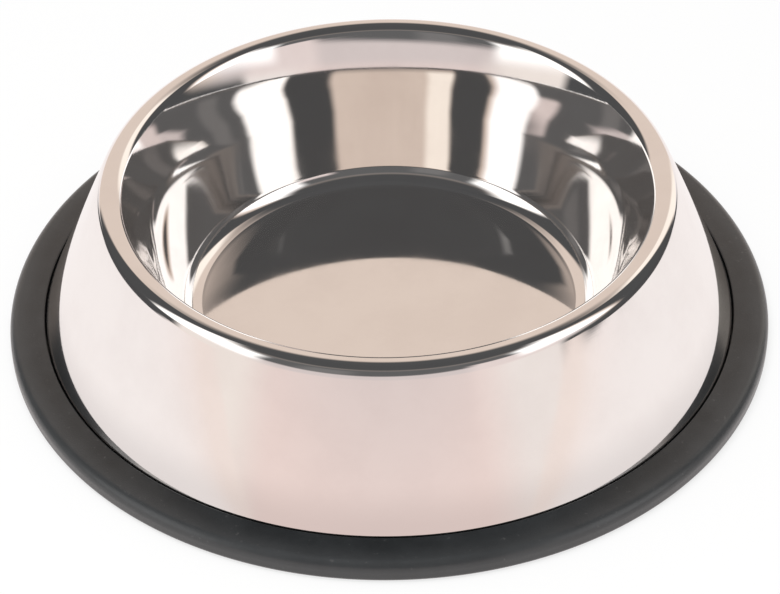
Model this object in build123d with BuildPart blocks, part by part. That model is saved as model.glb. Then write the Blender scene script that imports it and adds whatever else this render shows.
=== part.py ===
from build123d import *
import math
import os

# Pet bowl that doesn't tip over: one pressed steel sheet makes the bowl, its rounded rim and a wide
# conical skirt, and the skirt's lower edge stands in a slot in a rubber ring.
# Millimetres, +Z up. The origin is on the axis, at the level that the ring stands on.
# Sheet sizes are those of the polished face that shows: inside the bowl, over the rim, down the skirt.

# Steel sheet
sheet = 0.7

# Rubber ring, the widest piece: its diameter drives the other diameters
ring_diameter = 230.0
ring_shoulder_width = 10.9
ring_flange_width = 6.1
ring_lip_height = 6.8
ring_shoulder_height = 6.3
ring_inner_height = 5.0
ring_base = 2.0
ring_shoulder_round = 3.0
ring_foot_round = 1.6
ring_lip_round = 0.5
ring_inner_round = 1.0

# Slot in the ring: free space beside each face of the upright edge
slot_clearance = 0.3

# Foot: the upright edge below the skirt, and how far its bend sinks below the ring's lip
foot_sink = 0.5
foot_bend = 2.0

# Rim: a round bend whose crest is the highest line of the bowl, a skirt's run inside the foot
skirt_run = 22.5
rim_height = 51.1
rim_bend = 4.1

# Inside of the bowl: leans are in degrees from upright, and each run starts at a corner before its bend
# The flare opens the top of the wall up to the rim, in one long soft bend
flare_lean = 26.0
mouth_depth = 10.0
# The wall is the steeper middle run
wall_lean = 16.0
belly_height = 18.3
# The belly leads the wall down to the floor
belly_lean = 21.7
floor_height = 3.2
floor_bend = 7.4

# Soft bends at mouth and belly, as the share of the shorter run beside the corner that each takes up
mouth_bend_share = 0.96
belly_bend_share = 0.7

# Diameters, each from the one outside it
foot_diameter = ring_diameter - 2 * ring_shoulder_width
ring_hole_diameter = foot_diameter - 2 * ring_flange_width
rim_diameter = foot_diameter - 2 * skirt_run

# Corners of the sheet's section, as distance from the axis and height
foot_corner = (foot_diameter / 2, ring_lip_height - foot_sink)
foot_end = (foot_diameter / 2, ring_base)

# The straight skirt and the straight flare both touch the rim's bend
rim_centre = (rim_diameter / 2, rim_height - rim_bend)
skirt_across = foot_corner[0] - rim_centre[0]
skirt_up = foot_corner[1] - rim_centre[1]
skirt_normal = math.atan2(skirt_up, skirt_across) + math.acos(rim_bend / math.hypot(skirt_across, skirt_up))
flare_angle = math.radians(flare_lean)
flare_normal = math.pi - flare_angle
apex_reach = rim_bend / math.cos((flare_normal - skirt_normal) / 2)
apex_angle = (flare_normal + skirt_normal) / 2
rim_apex = (
    rim_centre[0] + apex_reach * math.cos(apex_angle),
    rim_centre[1] + apex_reach * math.sin(apex_angle),
)
flare_end = (
    rim_centre[0] + rim_bend * math.cos(flare_normal),
    rim_centre[1] + rim_bend * math.sin(flare_normal),
)

# From the rim down, each lower corner lies inside the one above it by its run's lean
wall_angle = math.radians(wall_lean)
belly_angle = math.radians(belly_lean)
mouth_height = rim_height - mouth_depth
mouth_corner = (flare_end[0] - (flare_end[1] - mouth_height) * math.tan(flare_angle), mouth_height)
belly_corner = (mouth_corner[0] - (mouth_height - belly_height) * math.tan(wall_angle), belly_height)
floor_corner = (belly_corner[0] - (belly_height - floor_height) * math.tan(belly_angle), floor_height)

# Bends that take up their share of the flare, and of what the floor's bend leaves of the belly
flare_length = (flare_end[1] - mouth_height) / math.cos(flare_angle)
floor_bend_reach = floor_bend * math.tan((math.pi / 2 - belly_angle) / 2)
belly_length = (belly_height - floor_height) / math.cos(belly_angle) - floor_bend_reach
mouth_bend = mouth_bend_share * flare_length / math.tan(abs(flare_angle - wall_angle) / 2)
belly_bend = belly_bend_share * belly_length / math.tan(abs(belly_angle - wall_angle) / 2)

# Slot walls, from the upright edge that goes between them
slot_outer = foot_diameter / 2 + slot_clearance
slot_inner = foot_diameter / 2 - sheet - slot_clearance

os.makedirs("parts", exist_ok=True)

# Steel bowl: one line from the middle of the floor to the foot's edge, made one sheet thick
with BuildPart() as steel_bowl:
    with BuildSketch(Plane.XZ) as sheet_section:
        with BuildLine() as sheet_outline:
            FilletPolyline(
                (0, floor_height),
                floor_corner,
                belly_corner,
                mouth_corner,
                rim_apex,
                foot_corner,
                foot_end,
                radius=[floor_bend, belly_bend, mouth_bend, rim_bend, foot_bend],
            )
            offset(amount=sheet, side=Side.RIGHT)
        make_face()
    revolve(axis=Axis.Z)
steel_bowl.part.label = "steel_bowl"
export_step(steel_bowl.part, "parts/steel_bowl.step")

# Rubber ring: flat foot, rounded shoulder and an open slot for the steel edge
with BuildPart() as rubber_ring:
    with BuildSketch(Plane.XZ) as ring_section:
        with BuildLine() as ring_outline:
            FilletPolyline(
                (ring_hole_diameter / 2, 0),
                (ring_diameter / 2, 0),
                (ring_diameter / 2, ring_shoulder_height),
                (slot_outer, ring_lip_height),
                (slot_outer, ring_base),
                (slot_inner, ring_base),
                (slot_inner, ring_inner_height),
                (ring_hole_diameter / 2, ring_inner_height),
                radius=[
                    ring_inner_round,
                    ring_foot_round,
                    ring_shoulder_round,
                    ring_lip_round,
                    0,
                    0,
                    ring_lip_round,
                    ring_inner_round,
                ],
                close=True,
            )
        make_face()
    revolve(axis=Axis.Z)
rubber_ring.part.label = "rubber_ring"
export_step(rubber_ring.part, "parts/rubber_ring.step")
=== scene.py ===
# %% [markdown]
# A pet bowl that stays put: a mirror-polished steel bowl whose sheet rolls over the rim and
# spreads into a wide skirt, standing in a black rubber ring.
# The imported model gives the exact place and size of both pieces. This lesson dresses them and
# builds a small photo studio round them.

import math

import bpy
import numpy as np
from mathutils import Matrix, Vector


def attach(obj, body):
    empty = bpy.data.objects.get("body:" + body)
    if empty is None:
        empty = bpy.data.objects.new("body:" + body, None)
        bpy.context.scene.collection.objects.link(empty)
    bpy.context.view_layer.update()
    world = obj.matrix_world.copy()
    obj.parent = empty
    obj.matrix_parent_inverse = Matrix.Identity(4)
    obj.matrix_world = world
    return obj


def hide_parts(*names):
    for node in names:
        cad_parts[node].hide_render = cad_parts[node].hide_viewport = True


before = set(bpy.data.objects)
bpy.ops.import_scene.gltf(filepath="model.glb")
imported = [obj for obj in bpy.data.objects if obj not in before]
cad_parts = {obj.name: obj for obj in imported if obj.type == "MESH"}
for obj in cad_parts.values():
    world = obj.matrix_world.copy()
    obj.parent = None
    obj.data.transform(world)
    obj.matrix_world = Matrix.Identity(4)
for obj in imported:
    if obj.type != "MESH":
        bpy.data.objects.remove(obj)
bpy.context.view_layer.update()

# %% [markdown]
# Everything on this bowl is round about one upright axis, so each piece is known from its section:
# a line in the plane of radius and height. Pressed and moulded things have sections of straight
# runs joined by round bends. A drawn curve could give that line, but then the bends would be
# guessed by eye. Here each bend is an exact arc from its corner and its radius, and it also gives
# the exact direction that the surface faces. A mirror shows the smallest error in that direction.


# %% Straight runs joined by round bends
def bent_outline(corners, bends, steps):
    """Points of a section line, and the way the surface faces at each of them.

    corners are rows of (radius, height), and bends has one radius for each inner corner. The line
    turns by an angle t at a corner. The arc touches both runs at R tan(|t| / 2) from the corner,
    and its centre lies R to that side of the first run to which the line turns. Along the arc, the
    first run's left-hand normal turns by a share of t, and the point is the centre less that normal
    times R, or plus it where the line turns right. The surface faces left of the line.
    """
    corners = np.asarray(corners, float)
    bends = np.asarray(bends, float)
    runs = np.diff(corners, axis=0)
    runs /= np.linalg.norm(runs, axis=1, keepdims=True)
    left = np.stack([-runs[:, 1], runs[:, 0]], axis=1)
    before, after = runs[:-1], runs[1:]
    turn = np.arctan2(
        before[:, 0] * after[:, 1] - before[:, 1] * after[:, 0], (before * after).sum(axis=1)
    )
    reach = np.sign(turn) * bends
    touch = corners[1:-1] - before * (bends * np.tan(np.abs(turn) / 2))[:, None]
    centre = touch + reach[:, None] * left[:-1]
    angle = turn[:, None] * np.linspace(0, 1, steps)
    facing = np.stack(
        [
            np.cos(angle) * left[:-1, None, 0] - np.sin(angle) * left[:-1, None, 1],
            np.sin(angle) * left[:-1, None, 0] + np.cos(angle) * left[:-1, None, 1],
        ],
        axis=-1,
    )
    points = centre[:, None] - reach[:, None, None] * facing
    line = np.vstack([corners[:1], points.reshape(-1, 2), corners[-1:]])
    normals = np.vstack([left[:1], facing.reshape(-1, 2), left[-1:]])
    return line, normals


# %% [markdown]
# A section becomes a piece by a full turn about the axis, as on a potter's wheel. Blender's Screw
# modifier and its Spin tool can do that too. A grid of angle and place along the line gives the
# same surface in one array, with its poles closed and its exact normals kept.

# %% A full turn about the axis
SEGMENTS = 400
ON_AXIS = 1e-9


def turned_piece(name, line, normals, segments):
    """A surface of revolution: the point at angle a is (r cos a, r sin a, z), for each (r, z).

    Rows of the grid follow the line and columns follow the angle. A line that starts and ends on
    the axis is closed by fans of triangles round two poles, and any other line is closed on itself.
    """
    angle = np.linspace(0, 2 * np.pi, segments, endpoint=False)
    around = np.stack([np.cos(angle), np.sin(angle)], axis=1)
    has_poles = line[0, 0] < ON_AXIS and line[-1, 0] < ON_AXIS
    body = line[1:-1] if has_poles else line[:-1]
    body_normals = normals[1:-1] if has_poles else normals[:-1]
    rows = len(body)

    def swept(values):
        """Each (outward, upward) pair, turned to every angle."""
        flat = values[:, None, :1] * around
        up = np.broadcast_to(values[:, None, 1:], (rows, segments, 1))
        return np.concatenate([flat, up], axis=2).reshape(-1, 3)

    points, facing = swept(body), swept(body_normals)
    row = np.arange(rows - 1 if has_poles else rows)[:, None]
    column = np.arange(segments)
    beside = (column + 1) % segments
    below = (row + 1) % rows
    quads = np.stack(
        [
            row * segments + column,
            below * segments + column,
            below * segments + beside,
            row * segments + beside,
        ],
        axis=-1,
    ).reshape(-1, 4)
    faces = quads.tolist()
    if has_poles:
        first, last = len(points), len(points) + 1
        points = np.vstack([points, [0, 0, line[0, 1]], [0, 0, line[-1, 1]]])
        facing = np.vstack([facing, [0, 0, normals[0, 1]], [0, 0, normals[-1, 1]]])
        end = (rows - 1) * segments
        faces += np.stack([np.full(segments, first), column, beside], axis=1).tolist()
        faces += np.stack([np.full(segments, last), end + beside, end + column], axis=1).tolist()
    mesh = bpy.data.meshes.new(name)
    mesh.from_pydata(points, [], faces)
    mesh.polygons.foreach_set("use_smooth", np.ones(len(faces), bool))
    mesh.update()
    mesh.normals_split_custom_set_from_vertices(facing)
    piece = bpy.data.objects.new(name, mesh)
    bpy.context.scene.collection.objects.link(piece)
    print(name, len(points), "points", len(faces), "faces")
    return piece


# %% [markdown]
# The bowl is one sheet of stainless steel. A press draws it down for the bowl, turns it over at the
# rim and spreads it into the skirt. Its polished face is the inside of the bowl, the rim and the
# outside of the skirt, and these sizes are measured on that face. Inside, three runs lead from the
# rim down to the floor: a flare in one long soft bend, a steeper wall and a belly that is pressed
# in a little more. Outside, the rim's tight bend doesn't meet the skirt at once. It runs out over a
# soft shoulder about a millimetre and a half long, which mirrors a dark crescent under the rim.

# %% Sizes of the polished face
MM = 0.001
sheet = 0.7 * MM
rim_centre = (81.6 * MM, 47.0 * MM)
foot_radius = 104.1 * MM
foot_corner = (foot_radius, 6.3 * MM)
foot_end = (foot_radius, 2.0 * MM)
mouth_height, belly_height, floor_height = np.array([41.1, 18.3, 3.2]) * MM
floor_bend, belly_bend, mouth_bend = np.array([7.4, 157.9, 94.0]) * MM
rim_bend, shoulder_bend, foot_bend = np.array([4.1, 14.0, 2.0]) * MM
# Leans are angles from upright, and the shoulder faces up by its angle from outwards
flare_lean, wall_lean, belly_lean = np.radians([26.0, 16.0, 21.7])
shoulder_facing = math.radians(29.7)
shoulder_run = 0.8 * MM
print("sheet", sheet / MM, "mm, rim at", (rim_centre[1] + rim_bend) / MM, "mm")

# %% [markdown]
# The corners are the points where the straight runs would meet if nothing were bent. Typing them in
# as a list would do, but then one changed lean would mean new numbers for all corners below it. So
# each is worked out from the one above it. The corner over the rim comes from the two directions
# in which the steel faces where the rim's bend starts and ends.


# %% Corners of the polished face
def round_the_rim(reach, angle):
    """The point at a distance from the rim's centre, in the direction of an angle from outwards."""
    return (rim_centre[0] + reach * math.cos(angle), rim_centre[1] + reach * math.sin(angle))


def run_down(corner, height, lean):
    """The corner below: a run moves in by its drop times the tangent of its lean from upright."""
    return (corner[0] - (corner[1] - height) * math.tan(lean), height)


flare_facing = math.pi - flare_lean
apex_reach = rim_bend / math.cos((flare_facing - shoulder_facing) / 2)
rim_apex = round_the_rim(apex_reach, (flare_facing + shoulder_facing) / 2)
rim_edge = round_the_rim(rim_bend, shoulder_facing)
shoulder_corner = (
    rim_edge[0] + shoulder_run * math.sin(shoulder_facing),
    rim_edge[1] - shoulder_run * math.cos(shoulder_facing),
)
mouth_corner = run_down(round_the_rim(rim_bend, flare_facing), mouth_height, flare_lean)
belly_corner = run_down(mouth_corner, belly_height, wall_lean)
floor_corner = run_down(belly_corner, floor_height, belly_lean)
polished_corners = np.array(
    [
        (0, floor_height),
        floor_corner,
        belly_corner,
        mouth_corner,
        rim_apex,
        shoulder_corner,
        foot_corner,
        foot_end,
    ]
)
polished_bends = np.array(
    [floor_bend, belly_bend, mouth_bend, rim_bend, shoulder_bend, foot_bend]
)
skirt_lean = math.atan2(foot_corner[0] - shoulder_corner[0], shoulder_corner[1] - foot_corner[1])
print("skirt leans", round(math.degrees(skirt_lean), 1), "degrees from upright")

# %% [markdown]
# The hidden face is the same line moved in by the sheet's thickness. At a corner, moving both runs
# moves the corner along the sum of their normals. A bend that is hollow on one face is fuller on
# the other, so its radius grows where the line turns left and shrinks where it turns right. Between
# the faces lies the cut edge, with the tiny rounding that deburring leaves.

# %% Section of the sheet
BEND_STEPS = 13
edge_round = 0.25 * MM
runs = np.diff(polished_corners, axis=0)
runs /= np.linalg.norm(runs, axis=1, keepdims=True)
faces_left = np.stack([-runs[:, 1], runs[:, 0]], axis=1)
corner_shift = faces_left[:-1] + faces_left[1:]
corner_shift /= 1 + (faces_left[:-1] * faces_left[1:]).sum(axis=1)[:, None]
hidden_corners = np.vstack(
    [
        polished_corners[0] - sheet * faces_left[0],
        polished_corners[1:-1] - sheet * corner_shift,
        polished_corners[-1] - sheet * faces_left[-1],
    ]
)
turn_sign = np.sign((faces_left[:-1] * runs[1:]).sum(axis=1))
hidden_bends = polished_bends + sheet * turn_sign
steel_line, steel_normals = bent_outline(
    np.vstack([polished_corners, hidden_corners[::-1]]),
    np.concatenate([polished_bends, [edge_round, edge_round], hidden_bends[::-1]]),
    steps=BEND_STEPS,
)
print("sheet section", steel_line.shape, "highest", steel_line[:, 1].max() / MM)

# %% [markdown]
# A long straight run needs no more than its two ends to be true, but narrow rows keep each face
# near square, and that helps the baked finish. So the longer gaps in the line are filled with
# points at even steps. The facing changes evenly along with them.


# %% The steel bowl
def filled(line, normals, longest):
    """Adds points on the straight between neighbours, so that no step is longer than a limit.

    Each step of the line is cut into the whole number of parts that its length needs, and point and
    normal move in proportion.
    """
    lengths = np.linalg.norm(np.diff(line, axis=0), axis=1)
    parts = np.maximum(np.ceil(lengths / longest).astype(int), 1)
    place = np.repeat(np.arange(len(parts)), parts)
    share = (np.arange(parts.sum()) - np.repeat(np.cumsum(parts) - parts, parts)) / parts[place]
    at = np.append(place + share, len(parts))
    known = np.arange(len(line))
    points = np.stack([np.interp(at, known, line[:, k]) for k in (0, 1)], axis=1)
    facing = np.stack([np.interp(at, known, normals[:, k]) for k in (0, 1)], axis=1)
    return points, facing / np.linalg.norm(facing, axis=1, keepdims=True)


steel_line, steel_normals = filled(steel_line, steel_normals, longest=6.0 * MM)
steel_bowl = turned_piece("polished_bowl", steel_line, steel_normals, SEGMENTS)
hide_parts("steel_bowl")
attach(steel_bowl, "bowl")

# %% [markdown]
# The ring is moulded rubber. Its section has a flat foot, a rounded shoulder that shows, and a slot
# that the steel edge stands in. A torus would be too round: the real top is nearly flat. The line
# starts and ends in the middle of the flat foot, where its joining shows least.

# %% The rubber ring
ring_hole, slot_inner, slot_outer, ring_edge = 98.0, 103.1, 104.4, 115.0
slot_floor, inner_top, shoulder_top, lip_top = 2.0, 5.0, 6.3, 6.8
foot_middle = 106.0
inner_round, lip_round, slot_round, shoulder_round, foot_round = 1.0, 0.5, 0.1, 3.0, 1.6
ring_corners = np.array(
    [
        (foot_middle, 0.0),
        (ring_hole, 0.0),
        (ring_hole, inner_top),
        (slot_inner, inner_top),
        (slot_inner, slot_floor),
        (slot_outer, slot_floor),
        (slot_outer, lip_top),
        (ring_edge, shoulder_top),
        (ring_edge, 0.0),
        (foot_middle, 0.0),
    ]
)
ring_bends = np.array(
    [
        inner_round,
        inner_round,
        lip_round,
        slot_round,
        slot_round,
        lip_round,
        shoulder_round,
        foot_round,
    ]
)
ring_line, ring_normals = bent_outline(ring_corners * MM, ring_bends * MM, steps=BEND_STEPS)
ring_line, ring_normals = filled(ring_line, ring_normals, longest=2.0 * MM)
rubber_ring = turned_piece("moulded_ring", ring_line, ring_normals, SEGMENTS)
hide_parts("rubber_ring")
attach(rubber_ring, "ring")

# %% [markdown]
# Finishes are node trees. Writing each node in full would bury the idea, so a few small helpers add
# a node or two each and return an output. Plain numbers and colours go straight to the sockets.


# %% Node helpers
def add_node(tree, kind, inputs=None, **settings):
    """Adds a node, sets its options, then sets or links each named or numbered input."""
    made = tree.nodes.new(kind)
    for option, value in settings.items():
        setattr(made, option, value)
    for key, value in (inputs or {}).items():
        if isinstance(value, bpy.types.NodeSocket):
            tree.links.new(value, made.inputs[key])
        else:
            made.inputs[key].default_value = value
    return made


def maths(tree, operation, first, second=0.0, third=0.0):
    """One arithmetic step on up to three numbers."""
    inputs = {0: first, 1: second, 2: third}
    return add_node(tree, "ShaderNodeMath", inputs, operation=operation).outputs[0]


def ramp(tree, value, start, end, low=0.0, high=1.0):
    """Eases from low to high while the value goes from start to end."""
    return add_node(
        tree,
        "ShaderNodeMapRange",
        {"Value": value, "From Min": start, "From Max": end, "To Min": low, "To Max": high},
        interpolation_type="SMOOTHSTEP",
    ).outputs["Result"]


def mixed(tree, share, first, second):
    """A colour that goes from the first to the second as the share goes from 0 to 1."""
    made = add_node(tree, "ShaderNodeMix", {0: share, 6: first, 7: second}, data_type="RGBA")
    return made.outputs[2]


def split_up(tree, vector):
    """The three numbers x, y and z of a vector."""
    return add_node(tree, "ShaderNodeSeparateXYZ", {"Vector": vector}).outputs


print("helpers: add_node, maths, ramp, mixed, split_up")

# %% [markdown]
# A finish starts from the piece's own coordinates, so it stays on the piece when the piece moves.
# Wheels and presses leave marks that run round the axis. A pattern that knows only the distance
# from the axis and the height is the same all the way round, so it makes such marks by itself.


# %% Finish helpers
def new_finish(name):
    """An empty material with its output, and the object's own coordinates to work from."""
    finish = bpy.data.materials.new(name)
    finish.use_nodes = True
    tree = finish.node_tree
    tree.nodes.clear()
    place = add_node(tree, "ShaderNodeTexCoord").outputs["Object"]
    output = add_node(tree, "ShaderNodeOutputMaterial")
    return finish, tree, place, output


def noise(tree, place, scale, detail, roughness):
    """Smooth random values from 0 to 1, of about 1 / scale metres a patch."""
    inputs = {"Vector": place, "Scale": scale, "Detail": detail, "Roughness": roughness}
    return add_node(tree, "ShaderNodeTexNoise", inputs).outputs["Fac"]


def axis_distance(tree, place):
    """The distance from the upright axis: the square root of x squared plus y squared."""
    x, y = split_up(tree, place)[:2]
    squares = [maths(tree, "POWER", side, 2.0) for side in (x, y)]
    return maths(tree, "SQRT", maths(tree, "ADD", *squares))


def lathe_place(tree, place):
    """A place made of the distance from the axis and the height, for patterns that run in rings."""
    inputs = {"X": axis_distance(tree, place), "Y": split_up(tree, place)[2]}
    return add_node(tree, "ShaderNodeCombineXYZ", inputs).outputs[0]


def bump(tree, heights, strength, depth, over=None):
    """Tilts the surface by a pattern of heights, on top of another bump where one is given."""
    inputs = {"Strength": strength, "Distance": depth, "Height": heights}
    if over is not None:
        inputs["Normal"] = over
    return add_node(tree, "ShaderNodeBump", inputs).outputs[0]


def shade(tree, output, inputs):
    """Links a Principled shader with these inputs to the material's output."""
    shader = add_node(tree, "ShaderNodeBsdfPrincipled", inputs)
    tree.links.new(shader.outputs[0], output.inputs["Surface"])


print("helpers: new_finish, noise, axis_distance, lathe_place, bump, shade")

# %% [markdown]
# Mirror-polished steel is a metal with very little roughness. What makes it look real is what is
# not perfect: the press leaves long, shallow waves that bend the reflections, the polishing wheel
# leaves faint rings about the axis, and handling leaves a thin uneven haze. All three stay weak.
# A narrow band just above the ring gets a darker tone: painted shade where the ring shades the
# skirt.

# %% Polished steel
bright_steel = (0.90, 0.88, 0.865, 1)
hazy_steel = (0.87, 0.845, 0.83, 1)
ring_shade_steel = (0.72, 0.70, 0.69, 1)
polished, tree, place, output = new_finish("mirror_polished_steel")
polish_rings = noise(tree, lathe_place(tree, place), scale=1800.0, detail=3.0, roughness=0.6)
press_waves = noise(tree, place, scale=22.0, detail=1.0, roughness=0.4)
haze = noise(tree, place, scale=45.0, detail=5.0, roughness=0.6)
waves_bump = bump(tree, press_waves, strength=0.12, depth=0.8 * MM)
rings_bump = bump(tree, polish_rings, strength=0.05, depth=0.02 * MM, over=waves_bump)
# Painted shade: the skirt is darker in a narrow band just above the ring, where the ring shades it.
painted_ring_shade = ramp(tree, axis_distance(tree, place), 97.5 * MM, 103.5 * MM, high=0.85)
steel_tone = mixed(tree, ramp(tree, haze, 0.35, 0.7), bright_steel, hazy_steel)
steel_tone = mixed(tree, painted_ring_shade, steel_tone, ring_shade_steel)
steel_inputs = {
    "Base Color": steel_tone,
    "Metallic": 1.0,
    "Roughness": ramp(tree, haze, 0.4, 0.75, low=0.035, high=0.075),
    "Normal": rings_bump,
}
shade(tree, output, steel_inputs)
print("polished steel:", len(tree.nodes), "nodes")

# %% [markdown]
# The sheet's other face, under the bowl and the skirt, is left as it came from the press: a duller
# satin with draw marks that run round the axis, and with paler and darker patches.

# %% Satin underside
pale_satin = (0.62, 0.605, 0.59, 1)
dark_satin = (0.54, 0.52, 0.505, 1)
satin, tree, place, output = new_finish("satin_steel_underside")
draw_marks = noise(tree, lathe_place(tree, place), scale=900.0, detail=4.0, roughness=0.65)
patches = noise(tree, place, scale=60.0, detail=4.0, roughness=0.6)
satin_inputs = {
    "Base Color": mixed(tree, ramp(tree, patches, 0.3, 0.7), pale_satin, dark_satin),
    "Metallic": 1.0,
    "Roughness": ramp(tree, draw_marks, 0.3, 0.7, low=0.24, high=0.36),
    "Normal": bump(tree, draw_marks, strength=0.25, depth=0.04 * MM),
}
shade(tree, output, satin_inputs)
print("satin steel:", len(tree.nodes), "nodes")

# %% [markdown]
# Both finishes are on one mesh, as both are on one sheet. The faces were made row by row along the
# section's line, so a face's row tells whether it lies before or past the cut edge. The edge's
# inner corner is the point at the foot's level that is nearer to the axis than the polished face.

# %% Two finishes on one sheet
steel_mesh = steel_bowl.data
steel_mesh.materials.append(polished)
steel_mesh.materials.append(satin)
first_corner = np.empty(len(steel_mesh.polygons), int)
steel_mesh.polygons.foreach_get("loop_start", first_corner)
corner_points = np.empty(len(steel_mesh.loops), int)
steel_mesh.loops.foreach_get("vertex_index", corner_points)
second_row = corner_points[first_corner + 1] // SEGMENTS
off_level = np.abs(steel_line[:, 1] - foot_end[1])
on_polished_side = steel_line[:, 0] > foot_end[0] - 0.1 * MM
edge_row = int(np.argmin(off_level + on_polished_side))
is_hidden = second_row > edge_row
steel_mesh.polygons.foreach_set("material_index", is_hidden.astype(np.int32))
print("satin faces:", int(is_hidden.sum()), "of", len(is_hidden))

# %% [markdown]
# Moulded rubber is black, but never a flat black: the mould's fine grain scatters light into a grey
# bloom, and the outer shoulder is a little paler, by its distance from the axis: a painted sheen
# that stands for light on the rounded shoulder. Dust settles in specks. The grain is a bump with
# patches about 0.4 mm across. The smooth skin that a mould can leave is a thin coat over it.

# %% Black rubber
deep_black = (0.012, 0.0138, 0.0150, 1)
grey_bloom = (0.022, 0.0245, 0.0265, 1)
painted_sheen_grey = (0.037, 0.0395, 0.0415, 1)
dust_grey = (0.085, 0.085, 0.085, 1)
rubber, tree, place, output = new_finish("grained_black_rubber")
grain = noise(tree, place, scale=2600.0, detail=3.0, roughness=0.6)
bloom = noise(tree, place, scale=55.0, detail=5.0, roughness=0.6)
specks = noise(tree, place, scale=700.0, detail=2.0, roughness=0.5)
# Painted sheen: the outer shoulder is paler, standing for light on its rounded face.
on_shoulder = ramp(tree, axis_distance(tree, place), 107.0 * MM, 114.5 * MM)
shoulder_sheen = maths(tree, "MULTIPLY", on_shoulder, ramp(tree, bloom, 0.15, 0.7, low=0.6))
rubber_tone = mixed(tree, ramp(tree, bloom, 0.3, 0.75), deep_black, grey_bloom)
rubber_tone = mixed(tree, shoulder_sheen, rubber_tone, painted_sheen_grey)
rubber_tone = mixed(tree, ramp(tree, specks, 0.66, 0.8, high=0.5), rubber_tone, dust_grey)
rubber_inputs = {
    "Base Color": rubber_tone,
    "Roughness": ramp(tree, grain, 0.3, 0.7, low=0.34, high=0.46),
    "Specular IOR Level": 0.45,
    "Coat Weight": 0.45,
    "Coat Roughness": 0.25,
    "Normal": bump(tree, grain, strength=0.35, depth=0.15 * MM),
}
shade(tree, output, rubber_inputs)
rubber_ring.data.materials.append(rubber)
print("black rubber:", len(tree.nodes), "nodes")

# %% [markdown]
# The bowl stands on a white sweep. Rays from the camera, and rays that the steel mirrors, find it
# nearly white by itself. The rest is plain diffuse white, and its share is largest close to the
# bowl, where the shadow has to show.

# %% Floor
FLOOR_HALF = 6.0
floor_mesh = bpy.data.meshes.new("studio_floor")
floor_corners = np.array([(-1, -1, 0), (1, -1, 0), (1, 1, 0), (-1, 1, 0)])
floor_mesh.from_pydata(FLOOR_HALF * floor_corners, [], [(0, 1, 2, 3)])
floor = bpy.data.objects.new("studio_floor", floor_mesh)
bpy.context.scene.collection.objects.link(floor)
white, tree, place, output = new_finish("white_sweep")
floor_mesh.materials.append(white)
rays = add_node(tree, "ShaderNodeLightPath").outputs
seen = maths(tree, "MAXIMUM", rays["Is Camera Ray"], rays["Is Glossy Ray"])
from_bowl = add_node(tree, "ShaderNodeVectorMath", {0: place}, operation="LENGTH").outputs["Value"]
glow_share = maths(tree, "MULTIPLY", seen, ramp(tree, from_bowl, 0.2, 0.8, low=0.72))
print("floor:", 2 * FLOOR_HALF, "m wide")

# %% [markdown]
# A shiny thing that is all in white loses its edges, so photographers stand dark boards close
# beside it. Past a board the steel mirrors dark instead of floor. Planes could stand there, but
# they would also darken the floor and show from other sides. So each board is painted on the floor
# that only mirrored rays see: between two bearings from the bowl, past a line that slants away.


# %% Dark boards beside the bowl
def bearing_of(tree, x, y):
    """Degrees from the front, -Y, round to the right, +X: the angle whose tangent is x / -y."""
    return maths(tree, "DEGREES", maths(tree, "ARCTAN2", x, maths(tree, "MULTIPLY", y, -1.0)))


def between(tree, value, start, end, soft):
    """1 where the value lies between start and end, easing to 0 over soft on each side of both."""
    past_start = ramp(tree, value, start - soft, start + soft)
    past_end = ramp(tree, value, end - soft, end + soft)
    return maths(tree, "SUBTRACT", past_start, past_end)


BOARD_BEARINGS = ((69, 128), (-128, -82))
BOARD_SOFT = 4
BOARD_SLANT = 0.65
BOARD_START, BOARD_FULL = 0.265, 0.295
x, y = split_up(tree, place)[:2]
floor_bearing = bearing_of(tree, x, y)
beside = [between(tree, floor_bearing, *ends, BOARD_SOFT) for ends in BOARD_BEARINGS]
to_line = maths(tree, "MULTIPLY_ADD", maths(tree, "ABSOLUTE", x), BOARD_SLANT, y)
past_line = ramp(tree, to_line, BOARD_START, BOARD_FULL)
board = maths(tree, "MULTIPLY", maths(tree, "ADD", *beside), past_line)
board = maths(tree, "MULTIPLY", board, rays["Is Glossy Ray"])
print("boards between the bearings", BOARD_BEARINGS)

# %% [markdown]
# In the steel, white paper isn't quite white: it takes a warm tone from the room, more so towards
# the front. The camera sees the paper itself, and that stays white.

# %% What the floor shows
white_paper = (1, 1, 1, 1)
paper_beside = (1.0, 0.925, 0.91, 1)
paper_in_front = (0.96, 0.84, 0.79, 1)
board_tone = (0.075, 0.075, 0.077, 1)
to_front = maths(tree, "MULTIPLY", y, -1.0)
mirrored_tone = mixed(tree, ramp(tree, to_front, 0.0, 0.75), paper_beside, paper_in_front)
mirrored_tone = mixed(tree, board, mirrored_tone, board_tone)
floor_tone = mixed(tree, rays["Is Glossy Ray"], white_paper, mirrored_tone)
glow_share = maths(tree, "MAXIMUM", glow_share, board)
glow = add_node(tree, "ShaderNodeEmission", {"Color": floor_tone, "Strength": 1.0}).outputs[0]
paper = add_node(tree, "ShaderNodeBsdfDiffuse", {"Color": (0.86, 0.86, 0.86, 1)}).outputs[0]
floor_mix = add_node(tree, "ShaderNodeMixShader", {0: glow_share, 1: paper, 2: glow})
tree.links.new(floor_mix.outputs[0], output.inputs["Surface"])
print("floor finish:", len(tree.nodes), "nodes")

# %% [markdown]
# A mirror shows its room, so the room is designed as carefully as the bowl. It is the plain studio
# of a product photograph. Its panels could be built as real planes. As a pattern of direction on
# the world they never get in the way of the camera, and they have soft edges for free. A direction
# is given by its bearing from the front and its height above the horizon, both in degrees.

# %% Directions in the room
world = bpy.data.worlds.new("studio_room")
bpy.context.scene.world = world
world.use_nodes = True
room_tree = world.node_tree
room_tree.nodes.clear()
way = add_node(room_tree, "ShaderNodeTexCoord").outputs["Generated"]
x, y, z = split_up(room_tree, way)
bearing = bearing_of(room_tree, x, y)
height = maths(room_tree, "DEGREES", maths(room_tree, "ARCSINE", z))


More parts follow.
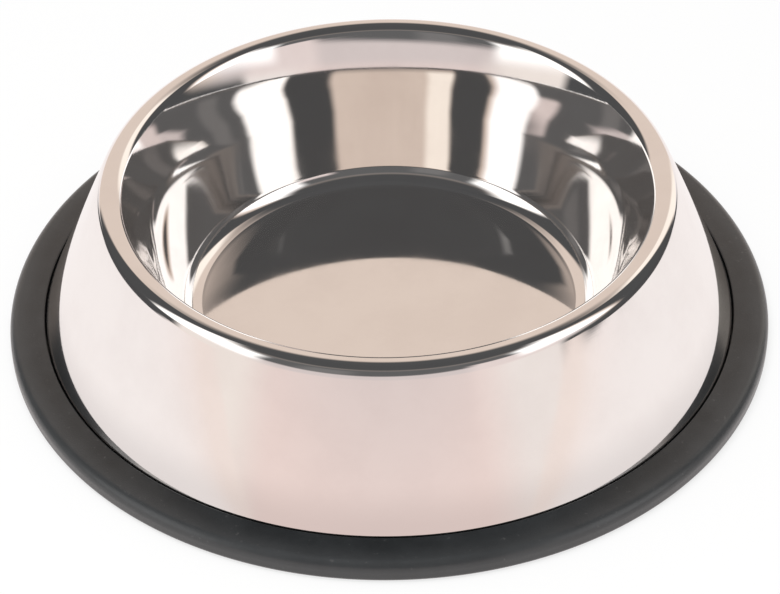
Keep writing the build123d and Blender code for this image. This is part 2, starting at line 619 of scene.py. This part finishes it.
def past_edge(value, other, start, end, span, soft):
    """Eases from 0 to 1 where one angle passes an edge that moves with the other angle.

    The edge goes in a straight line from start to end while the other angle goes through its span.
    """
    slope = (end - start) / (span[1] - span[0])
    edge = maths(room_tree, "MULTIPLY_ADD", other, slope, start - slope * span[0])
    return ramp(room_tree, maths(room_tree, "SUBTRACT", value, edge), -soft, soft)


def panel(below, colour, left, right, bottom, top, soft):
    """Lays a panel over the room, full between its edges and easing out over soft degrees.

    left and right give an edge's bearing at the horizon and at 45 degrees up. bottom and top give
    an edge's height at the left and at the right. soft is for the upright edges, the bottom and the
    top.
    """
    span = (left[0], right[0])
    from_left = past_edge(bearing, height, *left, (0, 45), soft[0])
    from_right = past_edge(bearing, height, *right, (0, 45), soft[0])
    above = past_edge(height, bearing, *bottom, span, soft[1])
    over = past_edge(height, bearing, *top, span, soft[2])
    across = maths(room_tree, "SUBTRACT", from_left, from_right)
    upward = maths(room_tree, "SUBTRACT", above, over)
    return mixed(room_tree, maths(room_tree, "MULTIPLY", across, upward), below, colour)


FULL_CIRCLE = ((-200, -200), (200, 200))
UNDER_FLOOR, OVERHEAD, HORIZON = (-30, -30), (130, 130), (-4, -4)
print("room directions:", len(room_tree.nodes), "nodes")

# %% [markdown]
# Each panel covers what was laid before it. First comes the far part of the room: a warm backdrop
# behind the bowl with a brighter strip at its right end, a dark ceiling, and a dark gap at each
# end of the backdrop.

# %% Backdrop, ceiling and gaps
DARK = (0.080, 0.081, 0.083, 1)
ceiling = (0.084, 0.085, 0.087, 1)
bright_strip = (1.15, 1.05, 0.95, 1)
room = (0.79, 0.665, 0.585, 1)
room = panel(room, bright_strip, (129, 120), (145, 144), UNDER_FLOOR, (49, 49), (4, 3, 5))
room = panel(room, ceiling, *FULL_CIRCLE, (54, 54), OVERHEAD, (3, 10, 3))
room = panel(room, DARK, (-133, -133), (-90, -92), UNDER_FLOOR, OVERHEAD, (4, 3, 3))
room = panel(room, DARK, (88, 90), (129, 120), UNDER_FLOOR, OVERHEAD, (3, 3, 3))
print("with the far part:", len(room_tree.nodes), "nodes")

# %% [markdown]
# The front of the room, where the camera stands, is dark too, and darkest overhead. One faint
# lighter patch keeps it from looking like a hole.

# %% Dark front
dark_front = (0.130, 0.130, 0.132, 1)
faint_patch = (0.20, 0.195, 0.195, 1)
room = panel(room, dark_front, (-60, -72), (60, 72), UNDER_FLOOR, (52, 52), (8, 3, 8))
room = panel(room, DARK, (-60, -72), (60, 72), (52, 52), OVERHEAD, (8, 8, 3))
room = panel(room, faint_patch, (-32, -32), (-14, -14), (14, 14), (40, 40), (5, 3, 6))
print("with the dark front:", len(room_tree.nodes), "nodes")

# %% [markdown]
# Low in front is a pale band, as if the sweep were turned up there like a low wall. It is brighter
# close to the horizon and towards the lamps, and it stands higher at the right. The front of the
# skirt and the pale collar below the far rim mirror it.

# %% Pale band in front
pale_band = (0.72, 0.64, 0.63, 1)
high_right = (0.85, 0.74, 0.72, 1)
low_band = (0.91, 0.75, 0.71, 1)
low_right = (0.93, 0.86, 0.83, 1)
low_left = (0.95, 0.87, 0.82, 1)
room = panel(room, pale_band, (-75, -75), (75, 75), UNDER_FLOOR, (13, 18), (8, 3, 1.5))
room = panel(room, high_right, (28, 30), (60, 60), UNDER_FLOOR, (27, 27), (4, 3, 4))
room = panel(room, low_band, (-56, -56), (56, 56), UNDER_FLOOR, (5, 5), (22, 3, 4))
room = panel(room, low_right, (36, 36), (80, 80), UNDER_FLOOR, (6, 6), (10, 3, 3))
room = panel(room, low_left, (-92, -92), (-46, -46), UNDER_FLOOR, (10, 10), (9, 3, 4))
print("with the pale band:", len(room_tree.nodes), "nodes")

# %% [markdown]
# Two white soft boxes light the bowl from the left and the right, and they make the bright strips
# in the steel. Below them is the darkness that goes on from the boards on the floor.

# %% Soft boxes
left_box = (1.5, 1.48, 1.46, 1)
right_box = (1.5, 1.48, 1.48, 1)
room = panel(room, DARK, (-133, -133), (-79, -79), HORIZON, (11, 11), (3, 1, 3))
room = panel(room, DARK, (62, 62), (126, 126), HORIZON, (6, 6), (3, 1, 3))
room = panel(room, left_box, (-91, -92), (-46, -50), (10, 10), (59, 40), (4, 4, 7))
room = panel(room, right_box, (46, 50), (86, 84), (11, 11), (42, 60), (4, 4, 7))
print("with the soft boxes:", len(room_tree.nodes), "nodes")

# %% [markdown]
# Only mirrored rays see this room. The camera sees white behind the floor, and diffuse light comes
# evenly from all round, so the rubber doesn't depend on the pattern.


# %% Who sees the room
def sky(colour, strength):
    """A background of one colour or pattern."""
    inputs = {"Color": colour, "Strength": strength}
    return add_node(room_tree, "ShaderNodeBackground", inputs).outputs[0]


mirrored_room = sky(room, 1.0)
even_light = sky((1, 0.99, 0.98, 1), 0.55)
white_behind = sky((1, 1, 1, 1), 1.0)
rays = add_node(room_tree, "ShaderNodeLightPath").outputs
unseen_inputs = {0: rays["Is Glossy Ray"], 1: even_light, 2: mirrored_room}
unseen = add_node(room_tree, "ShaderNodeMixShader", unseen_inputs).outputs[0]
shown_inputs = {0: rays["Is Camera Ray"], 1: unseen, 2: white_behind}
shown = add_node(room_tree, "ShaderNodeMixShader", shown_inputs).outputs[0]
add_node(room_tree, "ShaderNodeOutputWorld", {"Surface": shown})
print("studio room:", len(room_tree.nodes), "nodes")

# %% [markdown]
# One large lamp overhead gives the soft shadow under the ring. The steel doesn't mirror it, because
# the room's own panels already stand for the lamps.

# %% Lamp
lamp_data = bpy.data.lights.new("overhead_soft_box", "AREA")
lamp_data.shape = "DISK"
lamp_data.size = 1.2
lamp_data.energy = 14.0
lamp = bpy.data.objects.new("overhead_soft_box", lamp_data)
lamp.location = (-0.15, -0.25, 1.3)
lamp.rotation_euler = (-Vector(lamp.location)).to_track_quat("-Z", "Y").to_euler()
lamp.visible_glossy = False
bpy.context.scene.collection.objects.link(lamp)
print("lamp:", lamp_data.energy, "W,", round(lamp_data.size, 2), "m wide")

# %% [markdown]
# The photograph looks down at about forty degrees from a short way off, and leans by less than one
# degree. The camera stands at the distance that gives the ring and the rim their shapes on the
# picture, and looks at the bowl's axis. Its lens follows from its focal length in pixels.

# %% Camera
PICTURE_WIDTH = 780
FOCAL_PIXELS = 2624.0
SENSOR_WIDTH = 36.0
look_down = math.radians(39.96)
tilt = math.radians(0.82)
aim = Vector((0.32, 0.0, 5.23)) * MM
distance = 800.0 * MM
forward = Vector((0.0, math.cos(look_down), -math.sin(look_down)))
level_right = Vector((1.0, 0.0, 0.0))
level_up = Vector((0.0, math.sin(look_down), math.cos(look_down)))
right = level_right * math.cos(tilt) - level_up * math.sin(tilt)
up = level_right * math.sin(tilt) + level_up * math.cos(tilt)
camera_data = bpy.data.cameras.new("camera")
camera_data.sensor_fit = "HORIZONTAL"
camera_data.sensor_width = SENSOR_WIDTH
camera_data.lens = SENSOR_WIDTH * FOCAL_PIXELS / PICTURE_WIDTH
camera_data.clip_start = 0.01
camera = bpy.data.objects.new("camera", camera_data)
turn = Matrix((right, up, -forward)).transposed()
camera.matrix_world = Matrix.Translation(aim - forward * distance) @ turn.to_4x4()
bpy.context.scene.collection.objects.link(camera)
bpy.context.scene.camera = camera
stands_at = [round(v, 4) for v in camera.matrix_world.translation]
print("camera at", stands_at, "lens", camera_data.lens)

# %% [markdown]
# The picture keeps colours as they are written. Inside the bowl one ray can bounce from wall to
# wall many times, and each bounce that is cut off leaves a black patch, so twelve are allowed.

# %% Finish
bpy.context.scene.view_settings.view_transform = "Standard"
bpy.context.scene.cycles.glossy_bounces = 12
